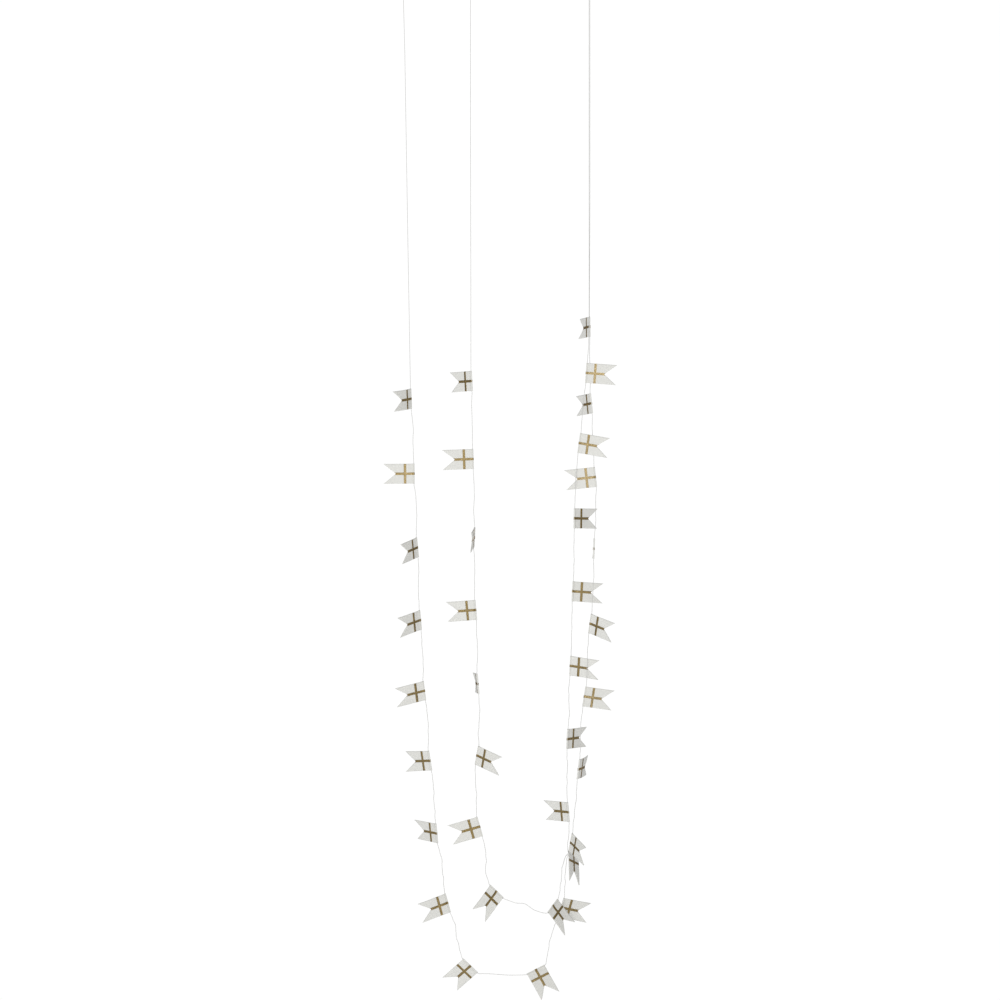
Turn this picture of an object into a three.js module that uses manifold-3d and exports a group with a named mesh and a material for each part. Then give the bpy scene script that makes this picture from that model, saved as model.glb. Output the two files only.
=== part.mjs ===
// Pennant garland: swallow-tail flags of folded, glued cloth on thin cord, hung in two swags side by side.
// Millimetres, +Z up, +X to the viewer's right, +Y away from the viewer.
// The origin is the right hanging point, where both swags end; the left and middle points are level with it.
import * as THREE from 'three';
import { mergeVertices } from 'three/addons/utils/BufferGeometryUtils.js';
import Module from 'manifold-3d';

const wasm = await Module();
wasm.setup();

// Flag
const HOIST = 30; // folded edge, the side that the cord runs through
const FLY = 47; // folded edge to the tips of the tails
const NOTCH = 28; // folded edge to the bottom of the notch
const FLAG_THICKNESS = 1; // two leaves of cloth glued together
const FOLD_RADIUS = 1.2; // outside of the fold round the cord
const FOLD_SIDES = 12;
const FLY_STEPS = 5;
const HOIST_STEPS = 2;

// Cord
const CORD_DIAMETER = 0.9;
const CORD_SIDES = 8;
const CORD_CLEARANCE = 0.3; // between the cord and what it touches
const STRAIGHT_PAST_FOLD = 2; // the cord leaves each fold straight for this length

// Hanging loops, above everything else
const LOOP_WIDTH = 8;
const LOOP_STEPS = 22;
const LOOP_ENDS_APART = 1; // where the two ends go into the knot
const KNOT_TOP = -13;
const KNOT_TURNS = 3;
const KNOT_TURN_HEIGHT = 1.4;
const KNOT_BOTTOM = KNOT_TOP - KNOT_TURNS * KNOT_TURN_HEIGHT;
const KNOT_GROOVE = 0.3; // depth of the groove between two turns
const KNOT_SEGMENTS = 12;
const SINGLE_KNOT_RADIUS = 1.6; // round one cord
const DOUBLE_KNOT_RADIUS = 2.2; // round two cords
const PAIR_HALF_SPACING = 0.6; // the two cords side by side under the right knot
const LEFT_POINT = -279.5; // x of the hanging points
const MIDDLE_POINT = -178.6;
const RIGHT_POINT = 0;

const CLOTH_COLOUR = 0xe3e4df;
const CORD_COLOUR = 0xe2e0d4;

// A bend of the free cord between two flags.
function kink(x, y, z) {
  return { kind: 'kink', place: new THREE.Vector3(x, y, z) };
}

// A flag, placed by the middle of its fold. Angles are in degrees: lean is the fold's slope in the viewer's
// plane, tip brings its top end forward, turn swings the tails round the fold (0 to the right, 90 away from
// the viewer, 180 to the left). The last two values say how far each tail's tip curls out of its plane.
function flag(x, y, z, lean, tip, turn, topCurl, bottomCurl) {
  const angle = THREE.MathUtils.degToRad;
  return {
    kind: 'flag',
    place: new THREE.Vector3(x, y, z),
    rotation: new THREE.Euler(angle(tip), angle(lean), angle(turn), 'YXZ'),
    topCurl,
    bottomCurl,
  };
}

// Outer swag, from the left hanging point down, round the bottom and up to the right hanging point.
// kink: x, y, z.  flag: x, y, z, lean, tip, turn, top curl, bottom curl.
const outerSwag = [
  kink(-277, 0, -110),
  kink(-272.5, 1, -390),
  flag(-268, 0, -628, -2, 6, -111, -11, -10),
  kink(-264, 1, -674),
  kink(-265, 0, -692),
  flag(-263.5, 0, -740.5, -0.5, 0, 177, 1, 1),
  kink(-261, 0, -768),
  kink(-259, -2, -800),
  flag(-258.5, 0, -851, -5, 12, -120, -1, -1),
  kink(-256, 2, -886),
  kink(-257, -2, -908),
  flag(-254, 0, -960, -5, 15, -135, -1, 1),
  kink(-251.5, 3, -994),
  kink(-249, -2, -1029),
  flag(-248, 0, -1066, -7, 18, -159, 1, 0),
  kink(-243, 3, -1101),
  kink(-241.5, -1, -1126),
  flag(-239.5, 0, -1171, -9, 7, 141, -3, 5),
  kink(-234, 1, -1206),
  kink(-233.5, -2, -1228),
  flag(-229.5, 0, -1280, -5, 12, 132, 1, -2),
  kink(-222, 3, -1315),
  kink(-220.5, 3, -1338),
  flag(-213, 0, -1384.5, -16, -20, 163, 1, 1),
  kink(-201, -4, -1416),
  kink(-200, -3, -1434),
  flag(-179, 0, -1479, -46, 7, 155, 1, -1),
  kink(-154, 1, -1490.5),
  kink(-120, 2, -1493),
  flag(-80.5, 3, -1485, 64, -14, -16, 0, 1),
  kink(-63.5, 8, -1466),
  kink(-61, 9, -1449),
  kink(-55, 11, -1425),
  flag(-42, 10, -1392, 16, 8, 25, 0, -3),
  kink(-36.5, 5, -1346),
  kink(-35, 3, -1322),
  flag(-28, -4, -1293.5, 10, 23, -59, -1, 1),
  kink(-23.5, -6.5, -1254),
  kink(-20, -5.5, -1229),
  flag(-16.5, -7, -1183.5, 7, 8, 66, 8, 7),
  kink(-13.5, -9.5, -1140),
  kink(-13, -11, -1112),
  flag(-7.5, -11, -1074.5, 9, -4, -21, -1, -1),
  kink(-3.5, -14.5, -1030),
  kink(-3, -16, -1003),
  flag(1, -17, -965, 8, 17, -40, 1, -1),
  kink(4, -17, -930),
  kink(6.5, -13, -892),
  flag(6.5, -9, -853, 2, 0, 90, 0, 1),
  kink(9.5, -5, -812),
  kink(9, -3, -782),
  flag(8.5, 0, -745.5, -6.5, 2, 169, 1, 0),
  kink(6.5, 1, -712),
  kink(4, 2, -677),
  flag(2.5, 1, -635, -6, -2, 113, 3, 6),
  kink(1.5, 1, -600),
  kink(0, 0, -560),
  flag(0.2, 0, -520, -1, -3, 108, -1, 2),
  kink(PAIR_HALF_SPACING, 0, -330),
  kink(PAIR_HALF_SPACING, 0, -105),
];

// Inner swag, from the middle hanging point down, round its bottom and up to the right hanging point.
const innerSwag = [
  kink(-178.5, 0, -240),
  kink(-178, 1, -445),
  flag(-177, 0, -601.5, -3, 0, 133, 1, -1),
  kink(-177, -1, -636),
  kink(-176, 0, -660),
  flag(-175, 0, -718.5, -2, 0, 180, 1, 1),
  kink(-172.5, 0, -770),
  kink(-174, -1, -798),
  flag(-173, 0, -836, 3, 10, -95, 0, 0),
  kink(-172, 2, -872),
  kink(-172.5, 0, -905),
  flag(-171, 0, -945, -5, 2, 160, 1, 1),
  kink(-169.5, 0, -982),
  kink(-167.5, 0, -1004),
  flag(-167.5, 0, -1056, -5, 2, 96, 1, 0),
  kink(-164.5, 0, -1102),
  kink(-167, -2, -1128),
  flag(-168.5, 0, -1163, 10, 20, -37, 1, 1),
  kink(-171.5, 4, -1198),
  kink(-169.5, 2, -1220),
  flag(-165, 0, -1270, -16, 0, 180, 1, 0),
  kink(-154.5, 1, -1312),
  kink(-156.5, 6, -1338),
  flag(-139.5, 0, -1367.5, -47, -30, 165, 1, 1),
  kink(-110, -9, -1384.5),
  kink(-98, -11, -1384),
  kink(-84, -20, -1393.5),
  kink(-72, -26.5, -1397.5),
  flag(-55, -14, -1388, 38, -39, 24, 0, 1),
  kink(-43, 1, -1358),
  kink(-41.5, 8, -1334),
  kink(-36, 16, -1314),
  kink(-26, 31, -1308),
  kink(-18.5, 38.5, -1309),
  kink(-14.5, 37.5, -1313),
  flag(-24, 19, -1311.5, 119, -55, -37, 1, 1),
  kink(-33, 2, -1299),
  kink(-31, -1, -1280),
  flag(-32, -2, -1248, -5, 9, 138, 1, -1),
  kink(-34, -3, -1203),
  kink(-33, -2, -1178),
  flag(-33, -1, -1138.5, 3, 6, 51, 1, 0),
  kink(-30, -2, -1100),
  kink(-31.5, -1, -1068),
  flag(-28.5, 0, -1028.5, 3, 14, -21, -1, -1),
  kink(-27, 3, -992),
  kink(-26.5, 1, -960),
  flag(-25, 2, -917, 3, -8, 7, 1, 1),
  kink(-23, 3, -874),
  kink(-23.5, 1, -850),
  flag(-22.5, 0, -807.5, 1, 0, 41, 0, 1),
  kink(-21, 1, -768),
  kink(-21, 1.5, -748),
  kink(-18.5, 1.2, -727),
  flag(-15, 0, -694.5, 8, 7, -18, 1, 1),
  kink(-11.5, -2, -660),
  kink(-9, -3, -628),
  flag(-4.5, -4, -589.5, 4, 2, -13, 1, 0),
  kink(-1.2, -3.2, -548),
  kink(-PAIR_HALF_SPACING, -2.8, -500),
  kink(-PAIR_HALF_SPACING, -0.8, -255),
];

// A path of straight stretches whose stations are exactly its corner points.
class CornerPath extends THREE.Curve {
  constructor(corners) {
    super();
    this.corners = corners;
  }

  getPoint(t, target = new THREE.Vector3()) {
    const station = t * (this.corners.length - 1);
    const first = Math.min(Math.floor(station), this.corners.length - 2);
    return target.lerpVectors(this.corners[first], this.corners[first + 1], station - first);
  }

  getPointAt(u, target) {
    return this.getPoint(u, target);
  }

  // At a corner, the mean of the directions before and after it.
  getTangentAt(u, target = new THREE.Vector3()) {
    const last = this.corners.length - 1;
    const corner = Math.round(u * last);
    const here = this.corners[corner];
    const before = this.corners[Math.max(corner - 1, 0)];
    const after = this.corners[Math.min(corner + 1, last)];
    const arriving = new THREE.Vector3().subVectors(here, before).normalize();
    const leaving = new THREE.Vector3().subVectors(after, here).normalize();
    return target.addVectors(arriving, leaving).normalize();
  }
}

// Solid joins and cuts
function toSolid(geometry) {
  geometry.deleteAttribute('normal');
  geometry.deleteAttribute('uv');
  const welded = mergeVertices(geometry);
  const vertProperties = new Float32Array(welded.attributes.position.array);
  const triVerts = new Uint32Array(welded.index.array);
  return new wasm.Manifold(new wasm.Mesh({ numProp: 3, vertProperties, triVerts }));
}

function toGeometry(solid) {
  const mesh = solid.getMesh();
  const geometry = new THREE.BufferGeometry();
  geometry.setAttribute('position', new THREE.BufferAttribute(new Float32Array(mesh.vertProperties), 3));
  geometry.setIndex(new THREE.BufferAttribute(new Uint32Array(mesh.triVerts), 1));
  geometry.computeVertexNormals();
  return geometry;
}

// The glued leaves: a box whose far side is drawn in to the notch, with the tails curled out of its plane.
function leaves(topCurl, bottomCurl) {
  const plate = new THREE.BoxGeometry(1, FLAG_THICKNESS, HOIST, FLY_STEPS, 1, HOIST_STEPS);
  const points = plate.attributes.position;
  for (let i = 0; i < points.count; i += 1) {
    const share = points.getX(i) + 0.5;
    const height = points.getZ(i);
    const fromMiddle = Math.abs(height) / (HOIST / 2);
    const reach = THREE.MathUtils.lerp(NOTCH, FLY, fromMiddle) - FOLD_RADIUS;
    const along = THREE.MathUtils.lerp(FOLD_RADIUS / 2, reach, share);
    const curl = THREE.MathUtils.lerp(bottomCurl, topCurl, height / HOIST + 0.5) * (along / FLY) ** 2;
    points.setXYZ(i, along, points.getY(i) + curl, height);
  }
  return plate;
}

// A rod along the fold, for the fold itself and for the way that the cord takes through it.
function foldRod(radius, length, sides) {
  return new THREE.CylinderGeometry(radius, radius, length, sides).rotateX(Math.PI / 2);
}

function flagGeometry(topCurl, bottomCurl) {
  const channelRadius = (CORD_DIAMETER / 2 + CORD_CLEARANCE) / Math.cos(Math.PI / CORD_SIDES);
  const channel = toSolid(foldRod(channelRadius, HOIST + 2, CORD_SIDES));
  const fold = toSolid(foldRod(FOLD_RADIUS, HOIST, FOLD_SIDES));
  return toGeometry(toSolid(leaves(topCurl, bottomCurl)).add(fold).subtract(channel));
}

// The cord's corner points: the kinks, and a point just past each end of each flag's fold, nearer end first.
function cordCorners(start, swag, end) {
  const corners = [start];
  const halfStraight = HOIST / 2 + STRAIGHT_PAST_FOLD;
  for (const stop of swag) {
    if (stop.kind === 'kink') {
      corners.push(stop.place);
      continue;
    }
    const previous = corners[corners.length - 1];
    const ends = [halfStraight, -halfStraight].map((height) =>
      new THREE.Vector3(0, 0, height).applyEuler(stop.rotation).add(stop.place));
    ends.sort((a, b) => a.distanceTo(previous) - b.distanceTo(previous));
    corners.push(...ends);
  }
  corners.push(end);
  return corners;
}

function roundSection() {
  const corners = [];
  for (let side = 0; side < CORD_SIDES; side += 1) {
    const angle = (2 * Math.PI * side) / CORD_SIDES;
    corners.push(new THREE.Vector2(Math.cos(angle), Math.sin(angle)).multiplyScalar(CORD_DIAMETER / 2));
  }
  return new THREE.Shape(corners);
}

function cordGeometry(corners) {
  const extrudePath = new CornerPath(corners);
  return new THREE.ExtrudeGeometry(roundSection(), { steps: corners.length - 1, extrudePath });
}

// A knot of close turns round the cord.
function knotGeometry(radius) {
  const groove = radius - KNOT_GROOVE;
  const profile = [new THREE.Vector2(0, KNOT_BOTTOM)];
  for (let turn = 0; turn < KNOT_TURNS; turn += 1) {
    const low = KNOT_BOTTOM + turn * KNOT_TURN_HEIGHT;
    profile.push(new THREE.Vector2(groove, low));
    profile.push(new THREE.Vector2(radius, low + KNOT_TURN_HEIGHT / 3));
    profile.push(new THREE.Vector2(radius, low + (KNOT_TURN_HEIGHT * 2) / 3));
  }
  profile.push(new THREE.Vector2(groove, KNOT_TOP));
  profile.push(new THREE.Vector2(0, KNOT_TOP));
  return new THREE.LatheGeometry(profile, KNOT_SEGMENTS).rotateX(Math.PI / 2);
}

// The eye that goes over a hook, its inside top at the hanging point, with both ends held by the knot.
function loopGeometry(knotRadius) {
  const inKnot = new THREE.Vector3(LOOP_ENDS_APART / 2, 0, KNOT_TOP - CORD_DIAMETER);
  const rightSide = [
    { width: 0.7, height: -8 },
    { width: 1, height: -4.3 },
    { width: 0.65, height: -0.9 },
  ].map((row) => new THREE.Vector3((row.width * LOOP_WIDTH) / 2, 0, row.height));
  const top = new THREE.Vector3(0, 0, CORD_DIAMETER / 2);
  const right = [inKnot, ...rightSide];
  const left = right.map((point) => new THREE.Vector3(-point.x, 0, point.z)).reverse();
  const eye = new THREE.CatmullRomCurve3([...right, top, ...left]);
  const strand = new THREE.ExtrudeGeometry(roundSection(), { steps: LOOP_STEPS, extrudePath: eye });
  return toGeometry(toSolid(strand).add(toSolid(knotGeometry(knotRadius))));
}

function clothMaterial() {
  return new THREE.MeshStandardMaterial({ color: CLOTH_COLOUR, roughness: 0.85, metalness: 0 });
}

function cordMaterial() {
  return new THREE.MeshStandardMaterial({ color: CORD_COLOUR, roughness: 0.8, metalness: 0 });
}

const garland = new THREE.Group();

function addPiece(name, geometry, material) {
  const piece = new THREE.Mesh(geometry, material);
  piece.name = name;
  garland.add(piece);
  return piece;
}

function addFlags(prefix, swag) {
  const flags = swag.filter((stop) => stop.kind === 'flag');
  flags.forEach((stop, i) => {
    const name = prefix + String(i + 1).padStart(2, '0');
    const piece = addPiece(name, flagGeometry(stop.topCurl, stop.bottomCurl), clothMaterial());
    piece.position.copy(stop.place);
    piece.rotation.copy(stop.rotation);
  });
}

function addCord(name, startX, swag, endX) {
  const start = new THREE.Vector3(startX, 0, KNOT_BOTTOM - CORD_CLEARANCE);
  const end = new THREE.Vector3(endX, 0, KNOT_BOTTOM - CORD_CLEARANCE);
  addPiece(name, cordGeometry(cordCorners(start, swag, end)), cordMaterial());
}

function addLoop(name, x, knotRadius) {
  addPiece(name, loopGeometry(knotRadius), cordMaterial()).position.x = x;
}

addFlags('flag_outer_', outerSwag);
addFlags('flag_inner_', innerSwag);
addCord('cord_outer', LEFT_POINT, outerSwag, RIGHT_POINT + PAIR_HALF_SPACING);
addCord('cord_inner', MIDDLE_POINT, innerSwag, RIGHT_POINT - PAIR_HALF_SPACING);
addLoop('hanging_loop_left', LEFT_POINT, SINGLE_KNOT_RADIUS);
addLoop('hanging_loop_middle', MIDDLE_POINT, SINGLE_KNOT_RADIUS);
addLoop('hanging_loop_right', RIGHT_POINT, DOUBLE_KNOT_RADIUS);

export default garland;
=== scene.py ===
"""Pennant garland: folded swallow-tail flags with gold crosses on thin cord, hung in two swags.

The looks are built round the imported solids, in metres, with +Z up, +X to the viewer's right and +Y away
from the viewer. The origin is the right hanging point.
"""
import math
from typing import NamedTuple

import bpy
import numpy as np
from mathutils import Matrix, Vector


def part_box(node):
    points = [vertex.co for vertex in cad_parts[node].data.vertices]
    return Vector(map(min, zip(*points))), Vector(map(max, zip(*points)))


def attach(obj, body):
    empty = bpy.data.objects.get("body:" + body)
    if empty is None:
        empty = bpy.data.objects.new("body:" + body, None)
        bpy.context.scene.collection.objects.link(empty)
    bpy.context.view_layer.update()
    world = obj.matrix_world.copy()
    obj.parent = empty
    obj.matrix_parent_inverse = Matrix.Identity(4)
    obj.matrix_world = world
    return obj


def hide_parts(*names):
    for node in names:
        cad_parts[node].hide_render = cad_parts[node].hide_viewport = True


bl_info = {
    "name": "Pennant garland",
    "version": (1, 0, 0),
    "blender": (4, 5, 0),
    "location": "View3D > Sidebar > Garland",
    "description": "Builds a hung garland of folded cloth flags with gold crosses on twisted cord",
    "category": "Add Mesh",
}

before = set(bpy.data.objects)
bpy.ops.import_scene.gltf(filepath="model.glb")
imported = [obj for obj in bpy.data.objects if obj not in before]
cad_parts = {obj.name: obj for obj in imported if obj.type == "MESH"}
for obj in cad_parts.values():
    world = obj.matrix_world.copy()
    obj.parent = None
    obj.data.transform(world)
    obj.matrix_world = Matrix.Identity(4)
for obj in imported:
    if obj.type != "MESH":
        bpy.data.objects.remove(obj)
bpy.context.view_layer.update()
BODY = "root"

# Ways of the cord past the flags and into the knots
PAIR_HALF_SPACING = 0.0006
STRAIGHT_PAST_FOLD = 0.002
IN_KNOT = -0.0154
CORD_STEP = 0.001

# Where a flag's two leaves lie flat on each other, from the middle of the cord
FLAT_FROM = 0.0026


class Kink(NamedTuple):
    """A bend of the free cord between two flags."""

    x: float
    y: float
    z: float


class Flag(NamedTuple):
    """A flag, placed by the middle of its fold, with angles in degrees.

    lean is the fold's slope in the viewer's plane, tip brings its top end forward, and turn swings the
    tails round the fold: 0 to the right, 90 away from the viewer, 180 to the left. The curls say how far
    each tail's tip leaves the flag's plane.
    """

    x: float
    y: float
    z: float
    lean: float
    tip: float
    turn: float
    top_curl: float
    bottom_curl: float


# Outer swag, from the left hanging point down, round the bottom and up to the right hanging point
OUTER_SWAG = [
    Kink(-0.277, 0, -0.11),
    Kink(-0.2725, 0.001, -0.39),
    Flag(-0.268, 0, -0.628, -2, 6, -111, -0.011, -0.01),
    Kink(-0.264, 0.001, -0.674),
    Kink(-0.265, 0, -0.692),
    Flag(-0.2635, 0, -0.7405, -0.5, 0, 177, 0.001, 0.001),
    Kink(-0.261, 0, -0.768),
    Kink(-0.259, -0.002, -0.8),
    Flag(-0.2585, 0, -0.851, -5, 12, -120, -0.001, -0.001),
    Kink(-0.256, 0.002, -0.886),
    Kink(-0.257, -0.002, -0.908),
    Flag(-0.254, 0, -0.96, -5, 15, -135, -0.001, 0.001),
    Kink(-0.2515, 0.003, -0.994),
    Kink(-0.249, -0.002, -1.029),
    Flag(-0.248, 0, -1.066, -7, 18, -159, 0.001, 0),
    Kink(-0.243, 0.003, -1.101),
    Kink(-0.2415, -0.001, -1.126),
    Flag(-0.2395, 0, -1.171, -9, 7, 141, -0.003, 0.005),
    Kink(-0.234, 0.001, -1.206),
    Kink(-0.2335, -0.002, -1.228),
    Flag(-0.2295, 0, -1.28, -5, 12, 132, 0.001, -0.002),
    Kink(-0.222, 0.003, -1.315),
    Kink(-0.2205, 0.003, -1.338),
    Flag(-0.213, 0, -1.3845, -16, -20, 163, 0.001, 0.001),
    Kink(-0.201, -0.004, -1.416),
    Kink(-0.2, -0.003, -1.434),
    Flag(-0.179, 0, -1.479, -46, 7, 155, 0.001, -0.001),
    Kink(-0.154, 0.001, -1.4905),
    Kink(-0.12, 0.002, -1.493),
    Flag(-0.0805, 0.003, -1.485, 64, -14, -16, 0, 0.001),
    Kink(-0.0635, 0.008, -1.466),
    Kink(-0.061, 0.009, -1.449),
    Kink(-0.055, 0.011, -1.425),
    Flag(-0.042, 0.01, -1.392, 16, 8, 25, 0, -0.003),
    Kink(-0.0365, 0.005, -1.346),
    Kink(-0.035, 0.003, -1.322),
    Flag(-0.028, -0.004, -1.2935, 10, 23, -59, -0.001, 0.001),
    Kink(-0.0235, -0.0065, -1.254),
    Kink(-0.02, -0.0055, -1.229),
    Flag(-0.0165, -0.007, -1.1835, 7, 8, 66, 0.008, 0.007),
    Kink(-0.0135, -0.0095, -1.14),
    Kink(-0.013, -0.011, -1.112),
    Flag(-0.0075, -0.011, -1.0745, 9, -4, -21, -0.001, -0.001),
    Kink(-0.0035, -0.0145, -1.03),
    Kink(-0.003, -0.016, -1.003),
    Flag(0.001, -0.017, -0.965, 8, 17, -40, 0.001, -0.001),
    Kink(0.004, -0.017, -0.93),
    Kink(0.0065, -0.013, -0.892),
    Flag(0.0065, -0.009, -0.853, 2, 0, 90, 0, 0.001),
    Kink(0.0095, -0.005, -0.812),
    Kink(0.009, -0.003, -0.782),
    Flag(0.0085, 0, -0.7455, -6.5, 2, 169, 0.001, 0),
    Kink(0.0065, 0.001, -0.712),
    Kink(0.004, 0.002, -0.677),
    Flag(0.0025, 0.001, -0.635, -6, -2, 113, 0.003, 0.006),
    Kink(0.0015, 0.001, -0.6),
    Kink(0, 0, -0.56),
    Flag(0.0002, 0, -0.52, -1, -3, 108, -0.001, 0.002),
    Kink(PAIR_HALF_SPACING, 0, -0.33),
    Kink(PAIR_HALF_SPACING, 0, -0.105),
]

# Inner swag, from the middle hanging point down, round its bottom and up to the right hanging point
INNER_SWAG = [
    Kink(-0.1785, 0, -0.24),
    Kink(-0.178, 0.001, -0.445),
    Flag(-0.177, 0, -0.6015, -3, 0, 133, 0.001, -0.001),
    Kink(-0.177, -0.001, -0.636),
    Kink(-0.176, 0, -0.66),
    Flag(-0.175, 0, -0.7185, -2, 0, 180, 0.001, 0.001),
    Kink(-0.1725, 0, -0.77),
    Kink(-0.174, -0.001, -0.798),
    Flag(-0.173, 0, -0.836, 3, 10, -95, 0, 0),
    Kink(-0.172, 0.002, -0.872),
    Kink(-0.1725, 0, -0.905),
    Flag(-0.171, 0, -0.945, -5, 2, 160, 0.001, 0.001),
    Kink(-0.1695, 0, -0.982),
    Kink(-0.1675, 0, -1.004),
    Flag(-0.1675, 0, -1.056, -5, 2, 96, 0.001, 0),
    Kink(-0.1645, 0, -1.102),
    Kink(-0.167, -0.002, -1.128),
    Flag(-0.1685, 0, -1.163, 10, 20, -37, 0.001, 0.001),
    Kink(-0.1715, 0.004, -1.198),
    Kink(-0.1695, 0.002, -1.22),
    Flag(-0.165, 0, -1.27, -16, 0, 180, 0.001, 0),
    Kink(-0.1545, 0.001, -1.312),
    Kink(-0.1565, 0.006, -1.338),
    Flag(-0.1395, 0, -1.3675, -47, -30, 165, 0.001, 0.001),
    Kink(-0.11, -0.009, -1.3845),
    Kink(-0.098, -0.011, -1.384),
    Kink(-0.084, -0.02, -1.3935),
    Kink(-0.072, -0.0265, -1.3975),
    Flag(-0.055, -0.014, -1.388, 38, -39, 24, 0, 0.001),
    Kink(-0.043, 0.001, -1.358),
    Kink(-0.0415, 0.008, -1.334),
    Kink(-0.036, 0.016, -1.314),
    Kink(-0.026, 0.031, -1.308),
    Kink(-0.0185, 0.0385, -1.309),
    Kink(-0.0145, 0.0375, -1.313),
    Flag(-0.024, 0.019, -1.3115, 119, -55, -37, 0.001, 0.001),
    Kink(-0.033, 0.002, -1.299),
    Kink(-0.031, -0.001, -1.28),
    Flag(-0.032, -0.002, -1.248, -5, 9, 138, 0.001, -0.001),
    Kink(-0.034, -0.003, -1.203),
    Kink(-0.033, -0.002, -1.178),
    Flag(-0.033, -0.001, -1.1385, 3, 6, 51, 0.001, 0),
    Kink(-0.03, -0.002, -1.1),
    Kink(-0.0315, -0.001, -1.068),
    Flag(-0.0285, 0, -1.0285, 3, 14, -21, -0.001, -0.001),
    Kink(-0.027, 0.003, -0.992),
    Kink(-0.0265, 0.001, -0.96),
    Flag(-0.025, 0.002, -0.917, 3, -8, 7, 0.001, 0.001),
    Kink(-0.023, 0.003, -0.874),
    Kink(-0.0235, 0.001, -0.85),
    Flag(-0.0225, 0, -0.8075, 1, 0, 41, 0, 0.001),
    Kink(-0.021, 0.001, -0.768),
    Kink(-0.021, 0.0015, -0.748),
    Kink(-0.0185, 0.0012, -0.727),
    Flag(-0.015, 0, -0.6945, 8, 7, -18, 0.001, 0.001),
    Kink(-0.0115, -0.002, -0.66),
    Kink(-0.009, -0.003, -0.628),
    Flag(-0.0045, -0.004, -0.5895, 4, 2, -13, 0.001, 0),
    Kink(-0.0012, -0.0032, -0.548),
    Kink(-PAIR_HALF_SPACING, -0.0028, -0.5),
    Kink(-PAIR_HALF_SPACING, -0.0008, -0.255),
]

SWAGS = {"outer": OUTER_SWAG, "inner": INNER_SWAG}


class CordSettings(bpy.types.PropertyGroup):
    """Sizes and colours of the twisted cord."""

    diameter: bpy.props.FloatProperty(
        name="Diameter", description="Outside of the twisted cord",
        default=0.0009, min=0.0003, precision=5, unit="LENGTH")
    plies: bpy.props.IntProperty(
        name="Plies", description="Yarns twisted together", default=3, min=2)
    lay: bpy.props.FloatProperty(
        name="Lay", description="Length of one full turn of the twist",
        default=0.0054, min=0.001, precision=5, unit="LENGTH")
    groove: bpy.props.FloatProperty(
        name="Groove", description="Depth of the groove between two plies, as a share of the radius",
        default=0.2, min=0, max=0.5, subtype="FACTOR")
    waves: bpy.props.FloatProperty(
        name="Waves", description="Height of the small waves that slack cord keeps",
        default=0.0004, min=0, precision=5, unit="LENGTH")
    colour: bpy.props.FloatVectorProperty(
        name="Colour", description="Cotton on the crowns of the plies",
        default=(0.767, 0.762, 0.759), size=3, min=0, max=1, subtype="COLOR")
    # Painted shade: this colour stands in for the shade deep in the grooves between the plies; the cotton
    # there is no darker
    groove_shade_colour: bpy.props.FloatVectorProperty(
        name="Groove colour", description="Cotton deep between the plies",
        default=(0.595, 0.585, 0.563), size=3, min=0, max=1, subtype="COLOR")


class EyeSettings(bpy.types.PropertyGroup):
    """Sizes of the tied eyes at the hanging points."""

    width: bpy.props.FloatProperty(
        name="Width", description="Widest place of the eye",
        default=0.008, min=0.002, precision=5, unit="LENGTH")
    knot_top: bpy.props.FloatProperty(
        name="Knot top", description="Height of the knot's upper end under the hanging point",
        default=-0.013, precision=5, unit="LENGTH")
    knot_bottom: bpy.props.FloatProperty(
        name="Knot bottom", description="Height of the knot's lower end under the hanging point",
        default=-0.0172, precision=5, unit="LENGTH")


class FlagSettings(bpy.types.PropertyGroup):
    """Sizes and colours of the cloth flags."""

    hoist: bpy.props.FloatProperty(
        name="Hoist", description="Folded edge, along the cord",
        default=0.03, min=0.01, precision=4, unit="LENGTH")
    fly: bpy.props.FloatProperty(
        name="Fly", description="Folded edge to the tips of the tails",
        default=0.047, min=0.01, precision=4, unit="LENGTH")
    notch: bpy.props.FloatProperty(
        name="Notch", description="Folded edge to the bottom of the notch",
        default=0.028, min=0.01, precision=4, unit="LENGTH")
    fold_radius: bpy.props.FloatProperty(
        name="Fold radius", description="Outside of the fold round the cord",
        default=0.0012, min=0.0008, precision=5, unit="LENGTH")
    thickness: bpy.props.FloatProperty(
        name="Thickness", description="One leaf of the cloth",
        default=0.0004, min=0.0001, precision=5, unit="LENGTH")
    ripple: bpy.props.FloatProperty(
        name="Ripple", description="Height of the soft waves across a flag",
        default=0.0002, min=0, precision=5, unit="LENGTH")
    thread: bpy.props.FloatProperty(
        name="Thread", description="Distance from one thread of the weave to the next",
        default=0.0005, min=0.0001, precision=5, unit="LENGTH")
    colour: bpy.props.FloatVectorProperty(
        name="Colour", description="Crown of the threads",
        default=(0.845, 0.839, 0.806), size=3, min=0, max=1, subtype="COLOR")
    # Painted shade: a darker band along the crease where the leaves leave the cord, for the ridge's shade and
    # the cord showing through the thin cloth
    crease_shade_colour: bpy.props.FloatVectorProperty(
        name="Crease colour", description="Cloth pressed in along the cord, which shows through it",
        default=(0.66, 0.645, 0.6), size=3, min=0, max=1, subtype="COLOR")
    # Painted shade: the low places of the weave take this colour; it is also the darker end of the yarns' own
    # uneven tone
    shade: bpy.props.FloatVectorProperty(
        name="Shade", description="Gaps and thin places of the weave",
        default=(0.765, 0.759, 0.735), size=3, min=0, max=1, subtype="COLOR")


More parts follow.
